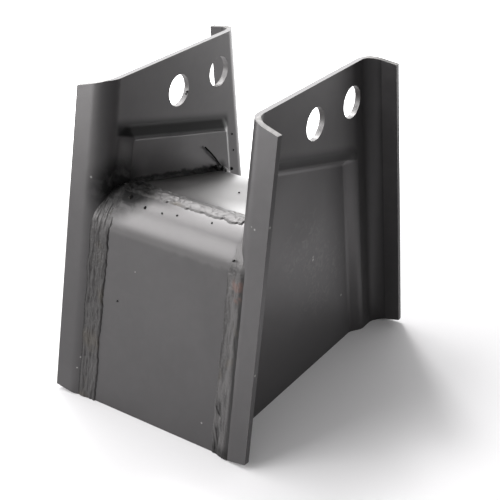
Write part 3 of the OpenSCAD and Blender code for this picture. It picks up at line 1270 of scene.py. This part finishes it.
def fillet_skin(run, sign, leg, soot_and_shade, seed):
    """The rule that puts the skin of a fillet in place."""
    start, end = FILLET_RUNS[run]
    turn = math.pi / 2 + 2 * FILLET_OVERRUN

    def place(across_share, along_share):
        along = start + along_share * (end - start)
        spot, normal = box_outline(along)
        angle = across_share * turn - FILLET_OVERRUN
        reach = leg * (FILLET_BODY + SWELL * ripple_noise(seed, along / SWELL_CELL))
        reach *= 1 + LUMP * ripple_noise(seed, along / LUMP_CELL, angle * LUMP_TURNS)
        reach += FILLET_GRIT * ripple_noise(seed, along / FILLET_GRIT_CELL, angle * FILLET_GRIT_TURNS, 5)
        away = reach / max(FILLET_FLATNESS, abs(math.cos(angle)) + abs(math.sin(angle)))
        spot = spot + normal * away * math.sin(angle)
        x = sign * (panel_inner(spot.y) - away * math.cos(angle))
        # The crest falls towards both toes, which take painted shade
        return Vector((x, spot.x, spot.y)), HALF + HALF * math.sin(2 * angle), soot_and_shade

    return place


class HANGER_OT_fillet_beads(bpy.types.Operator):
    """Make the rough fillets along the top and the rear of the box, on both plates"""

    bl_idname = "hanger.fillet_beads"
    bl_label = "Fillet beads"

    def execute(self, context):
        material = cached_material("painted_weld", bead_paint, context.scene.hanger_finish)
        for joint, (share, soot_and_shade, seed) in FILLETS.items():
            run, side = joint.split("_")
            sign = SIDES[side]
            leg = context.scene.hanger_sizes.fillet_leg * share
            place = fillet_skin(run, sign, leg, soot_and_shade, seed)

            def outward(middle, sign=sign):
                return Vector((-sign, 0, 0)) + Vector((0, middle.y, middle.z)).normalized()

            bm = bead_shell(FILLET_GRID, FILLET_DEPTH, place, outward)
            finish_piece(f"{joint}_bead", bm, material, [f"{joint}_weld"])
        return {"FINISHED"}


# Balls of weld spatter and lumps of slag, as (place in mm, radius in mm)
SPATTER = (
    ((-10.5, -85.5, 171.6), 0.8),
    ((2.8, -83.8, 172.9), 0.8),
    ((34.0, -81.4, 174.4), 0.9),
    ((4.3, -2.3, 160.4), 1.0),
    ((64.9, -97.6, 158.8), 1.0),
    ((-27.2, -85.4, 171.7), 1.1),
    ((-64.7, 86.8, 166.3), 1.0),
    ((-65.0, 89.5, 149.5), 0.8),
    ((-41.5, -108.0, 93.8), 0.8),
    ((-45.0, -81.0, 174.0), 2.0),
    ((-49.0, -74.0, 177.5), 2.2),
    ((-54.0, -66.0, 176.0), 2.2),
    ((-54.5, 57.0, 145.6), 1.8),
    ((-55.7, 48.5, 150.0), 1.5),
    ((-65.3, 87.1, 131.6), 1.4),
    ((-65.0, 21.4, 226.6), 1.0),
    ((-65.3, 20.5, 225.0), 0.8),
)
SPATTER_SEED = 61
SPATTER_ROUGH = 0.55
SPATTER_CELL = 0.9
BALL_STEPS = 3
WIRE_SIDES = 12

# The wire end's middle line in mm, from its root up
WIRE_PATH = (
    (-57.4, 58.5, 148.0),
    (-56.6, 54.0, 152.5),
    (-55.9, 48.0, 159.0),
    (-55.7, 41.0, 166.5),
    (-56.2, 34.1, 173.7),
)


class HANGER_OT_spatter(bpy.types.Operator):
    """Make the balls of weld spatter, the slag lumps in the corners and the wire end on the left panel"""

    bl_idname = "hanger.spatter"
    bl_label = "Spatter and wire"

    def execute(self, context):
        material = cached_material("painted_weld", bead_paint, context.scene.hanger_finish)
        self.balls(material)
        self.wire(material, context.scene.hanger_sizes.wire / 2)
        return {"FINISHED"}

    def balls(self, material):
        """One lumpy ball at each place."""
        bm = bmesh.new()
        darkening = bm.verts.layers.float.new("soot_and_shade")
        for place, radius in SPATTER:
            middle = Vector(place) * MM
            turn = Matrix.Translation(middle)
            made = bmesh.ops.create_icosphere(bm, subdivisions=BALL_STEPS, radius=radius * MM, matrix=turn)
            for vert in made["verts"]:
                outward = vert.co - middle
                lump = ripple_noise(SPATTER_SEED, *(vert.co / (SPATTER_CELL * radius * MM)))
                vert.co = middle + outward * (1 + SPATTER_ROUGH * lump)
                vert[darkening] = 1.0
        for face in bm.faces:
            face.smooth = True
        finish_piece("weld_spatter", bm, material, [])

    def wire(self, material, radius):
        """A closed rod along the wire's path."""
        bm = bmesh.new()
        darkening = bm.verts.layers.float.new("soot_and_shade")
        path = [Vector(place) * MM for place in WIRE_PATH]
        turn = (path[1] - path[0]).to_track_quat("Z", "Y").to_matrix().to_4x4()
        start = Matrix.Translation(path[0]) @ turn
        bmesh.ops.create_circle(bm, cap_ends=True, segments=WIRE_SIDES, radius=radius, matrix=start)
        cap = bm.faces[:]
        for first, last in zip(path, path[1:]):
            made = bmesh.ops.extrude_face_region(bm, geom=cap, use_keep_orig=first == path[0])
            cap = [part for part in made["geom"] if isinstance(part, bmesh.types.BMFace)]
            verts = [part for part in made["geom"] if isinstance(part, bmesh.types.BMVert)]
            bmesh.ops.translate(bm, verts=verts, vec=last - first)
        bmesh.ops.recalc_face_normals(bm, faces=bm.faces)
        for vert in bm.verts:
            vert[darkening] = 1.0
        for face in bm.faces:
            face.smooth = len(face.verts) == 4
        finish_piece("weld_wire", bm, material, [])


# Lamps, as a place and a width and height in metres
LAMPS = {
    "back_lamp": ((-0.68, 0.65, 1.65), (0.25, 0.25)),
    "softbox": ((-0.74, 0.05, 1.42), (1.6, 0.7)),
    "front_lamp": ((-0.84, -1.30, 0.82), (0.9, 1.25)),
}
WHITE = (1, 1, 1)
SENSOR_WIDTH = 36

# Headings of the bright surroundings and of the floor behind the part, and how each comes in
BRIGHT_SIDE = (-0.90, 0.42, 0.0)
BRIGHT_RISE = (0.2, 0.7)
BEHIND = (-0.60, 0.80, 0.0)
BEHIND_RISE = (0.2, 0.6)

# Even light at the dim side, and what the bright side adds to it
AROUND_LEAST = 0.6
AROUND_MORE = 0.8
AROUND_RISE = (-1.0, 1.0)

FLOOR_HALF = 8.0
FLOOR_DROP = 0.05 * MM
FLOOR_ROUGH = 0.7
FLOOR_MELT = (0.20, 0.50)

# Brightness of the floor in reflections: at the right, what the left adds, and the share near the part
MIRROR_RIGHT = 0.2
MIRROR_LEFT_MORE = 0.7
MIRROR_ACROSS = (0.36, 0.20)
MIRROR_NEAR = 0.8
MIRROR_FAR = (0.25, 0.75)


class HANGER_OT_stage(bpy.types.Operator):
    """Make the floor, the soft light and the camera"""

    bl_idname = "hanger.stage"
    bl_label = "Stage"

    def execute(self, context):
        stage = context.scene.hanger_stage
        self.floor(context, stage)
        self.world(context, stage)
        self.lamp(context, "back_lamp", stage.back_power)
        self.lamp(context, "softbox", stage.softbox_power)
        self.lamp(context, "front_lamp", stage.front_power)
        self.camera(context, stage)
        context.scene.view_settings.view_transform = "Standard"
        return {"FINISHED"}

    def floor(self, context, stage):
        """A wide pale floor that melts into the surroundings well away from the part."""
        bm = bmesh.new()
        bmesh.ops.create_grid(bm, x_segments=1, y_segments=1, size=FLOOR_HALF)
        bmesh.ops.translate(bm, verts=bm.verts, vec=(0, 0, -FLOOR_DROP))
        mesh = bpy.data.meshes.new("floor")
        bm.to_mesh(mesh)
        bm.free()
        floor = bpy.data.objects.new("floor", mesh)
        context.scene.collection.objects.link(floor)
        material, bench = new_material("pale_floor")
        place = bench.place()
        far = bench.node("ShaderNodeVectorMath", {"operation": "LENGTH"}, {0: place}, output="Value")
        across = bench.node("ShaderNodeSeparateXYZ", {}, {0: place}, output="X")
        inputs = {0: place, 1: BEHIND}
        behind = bench.node("ShaderNodeVectorMath", {"operation": "DOT_PRODUCT"}, inputs, output="Value")
        inputs = {"Base Color": stage.floor, "Roughness": FLOOR_ROUGH}
        plain = bench.node("ShaderNodeBsdfPrincipled", {}, inputs)
        camera = bench.node("ShaderNodeLightPath", output="Is Camera Ray")
        glossy = bench.node("ShaderNodeLightPath", output="Is Glossy Ray")
        level = MIRROR_RIGHT + MIRROR_LEFT_MORE * across.rise(*MIRROR_ACROSS)
        level = level * at_least(MIRROR_NEAR, far.rise(*MIRROR_FAR))
        level = level + (stage.bright_side - 1) * behind.rise(*BEHIND_RISE)
        strength = camera.most(level)
        white = bench.node("ShaderNodeEmission", {}, {"Color": WHITE, "Strength": strength})
        seen = camera.most(glossy) * far.rise(*FLOOR_MELT)
        blend = bench.node("ShaderNodeMixShader", {}, {0: seen, 1: plain, 2: white})
        bench.node("ShaderNodeOutputMaterial", {}, {"Surface": blend})
        mesh.materials.append(material)

    def world(self, context, stage):
        """White for the camera; a bright left and back and a dim right for light and reflections."""
        world = bpy.data.worlds.new("studio")
        world.use_nodes = True
        context.scene.world = world
        bench = Bench(world.node_tree)
        camera = bench.node("ShaderNodeLightPath", output="Is Camera Ray")
        glossy = bench.node("ShaderNodeLightPath", output="Is Glossy Ray")
        through = bench.node("ShaderNodeLightPath", output="Is Transmission Ray")
        heading = bench.node("ShaderNodeTexCoord", output="Generated")
        inputs = {0: heading, 1: BRIGHT_SIDE}
        towards = bench.node("ShaderNodeVectorMath", {"operation": "DOT_PRODUCT"}, inputs, output="Value")
        glow = stage.dim_side + (stage.bright_side - stage.dim_side) * towards.rise(*BRIGHT_RISE)
        around = stage.ambient * (AROUND_LEAST + AROUND_MORE * towards.rise(*AROUND_RISE))
        mirrored = glossy.most(through)
        strength = camera + (1 - camera) * (mirrored * glow + (1 - mirrored) * around)
        light = bench.node("ShaderNodeBackground", {}, {"Color": WHITE, "Strength": strength})
        bench.node("ShaderNodeOutputWorld", {}, {"Surface": light})

    def lamp(self, context, name, power):
        """A soft lamp that faces the middle of the part."""
        place, size = LAMPS[name]
        data = bpy.data.lights.new(name, "AREA")
        data.shape = "RECTANGLE"
        data.size, data.size_y = size
        data.energy = power
        lamp = bpy.data.objects.new(name, data)
        aim = Vector((0, 0, HEIGHT / 2)) - Vector(place)
        lamp.location = place
        lamp.rotation_euler = aim.to_track_quat("-Z", "Y").to_euler()
        context.scene.collection.objects.link(lamp)

    def camera(self, context, stage):
        """A camera turned by yaw, pitch and roll at its station."""
        ahead = Vector(
            (
                -math.sin(stage.yaw) * math.cos(stage.pitch),
                math.cos(stage.yaw) * math.cos(stage.pitch),
                -math.sin(stage.pitch),
            )
        )
        level = Vector((math.cos(stage.yaw), math.sin(stage.yaw), 0))
        above = level.cross(ahead)
        across = math.cos(stage.roll) * level + math.sin(stage.roll) * above
        upward = math.cos(stage.roll) * above - math.sin(stage.roll) * level
        turn = Matrix((across, upward, -ahead)).transposed().to_4x4()
        data = bpy.data.cameras.new("camera")
        data.sensor_width = SENSOR_WIDTH
        data.lens = stage.lens
        camera = bpy.data.objects.new("camera", data)
        camera.matrix_world = Matrix.Translation(Vector(stage.station)) @ turn
        context.scene.collection.objects.link(camera)
        context.scene.camera = camera


OPERATORS = (
    HANGER_OT_plates,
    HANGER_OT_webs,
    HANGER_OT_corner_beads,
    HANGER_OT_seam_bead,
    HANGER_OT_fillet_beads,
    HANGER_OT_spatter,
    HANGER_OT_stage,
)
GROUPS = {
    "hanger_finish": HangerFinish,
    "hanger_sizes": HangerSizes,
    "hanger_stage": HangerStage,
}


class HANGER_PT_sidebar(bpy.types.Panel):
    """Lists the settings and the pieces"""

    bl_idname = "HANGER_PT_sidebar"
    bl_label = "Spring hanger"
    bl_space_type = "VIEW_3D"
    bl_region_type = "UI"
    bl_category = "Hanger"

    def draw(self, context):
        layout = self.layout
        for name, group in GROUPS.items():
            for prop in group.__annotations__:
                layout.prop(getattr(context.scene, name), prop)
        for operator in OPERATORS:
            layout.operator(operator.bl_idname)


CLASSES = (*GROUPS.values(), *OPERATORS, HANGER_PT_sidebar)


def register():
    for cls in CLASSES:
        bpy.utils.register_class(cls)
    for name, group in GROUPS.items():
        setattr(bpy.types.Scene, name, bpy.props.PointerProperty(type=group))


def unregister():
    for name in GROUPS:
        delattr(bpy.types.Scene, name)
    for cls in reversed(CLASSES):
        bpy.utils.unregister_class(cls)


def main():
    register()
    bpy.ops.hanger.plates()
    bpy.ops.hanger.webs()
    bpy.ops.hanger.corner_beads()
    bpy.ops.hanger.seam_bead()
    bpy.ops.hanger.fillet_beads()
    bpy.ops.hanger.spatter()
    bpy.ops.hanger.stage()


if __name__ == "__main__":
    main()
